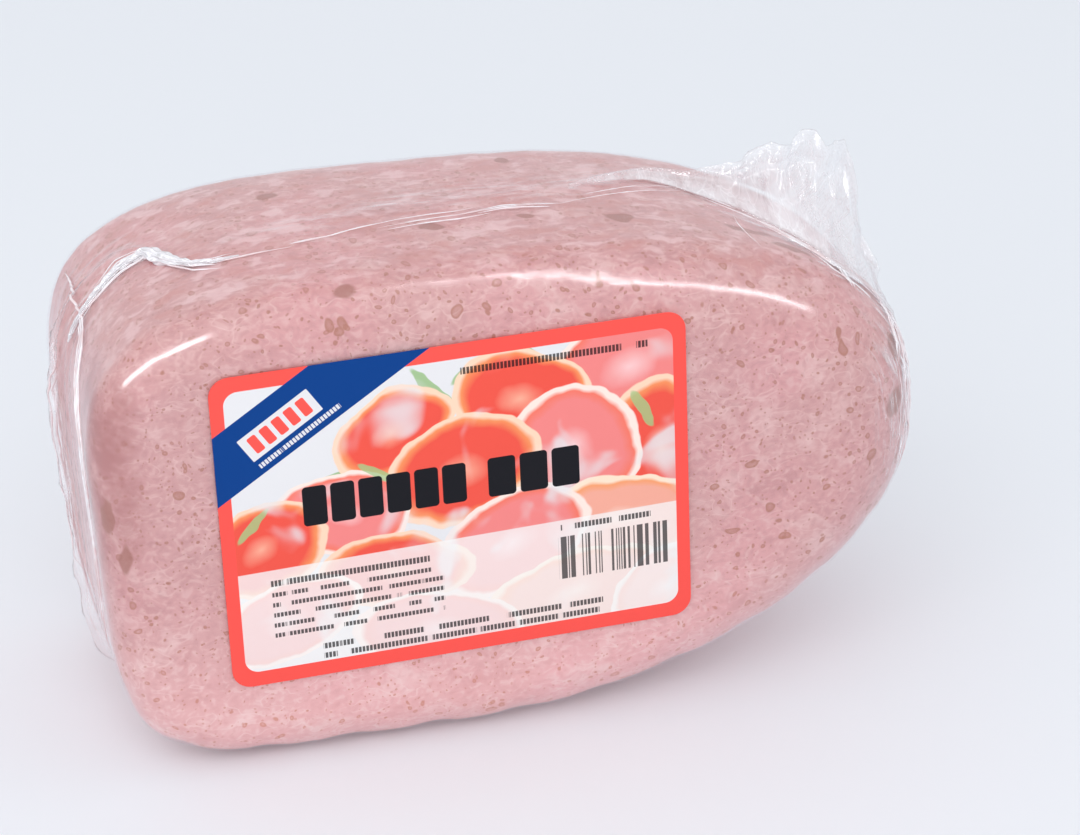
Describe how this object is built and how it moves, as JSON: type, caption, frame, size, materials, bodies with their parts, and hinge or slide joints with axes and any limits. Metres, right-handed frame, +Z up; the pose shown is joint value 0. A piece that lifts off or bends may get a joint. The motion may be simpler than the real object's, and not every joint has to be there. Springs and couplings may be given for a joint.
{
  "type": "film-wrapped cooked ham loaf",
  "caption": "Pressed cooked ham loaf sealed in clear film, squarer at one end and round at the other, with a gathered film tail and a large blank label on its face.",
  "frame": {"origin": "centre of the bounding box's underside, on the surface the loaf rests on", "axes": "+X along the loaf towards its round end and the film tail, -Y out of the labelled face, +Z up"},
  "size_m": [0.263, 0.1098, 0.16],
  "materials": {
    "ham": "moist pressed meat, pink-mauve with darker flecks and pores",
    "film": "clear glossy shrink film, whitish where it bunches",
    "label": "satin printed film label"
  },
  "bodies": {
    "root": {"wrapped_ham": "ham", "label": "label"}
  },
  "joints": []
}
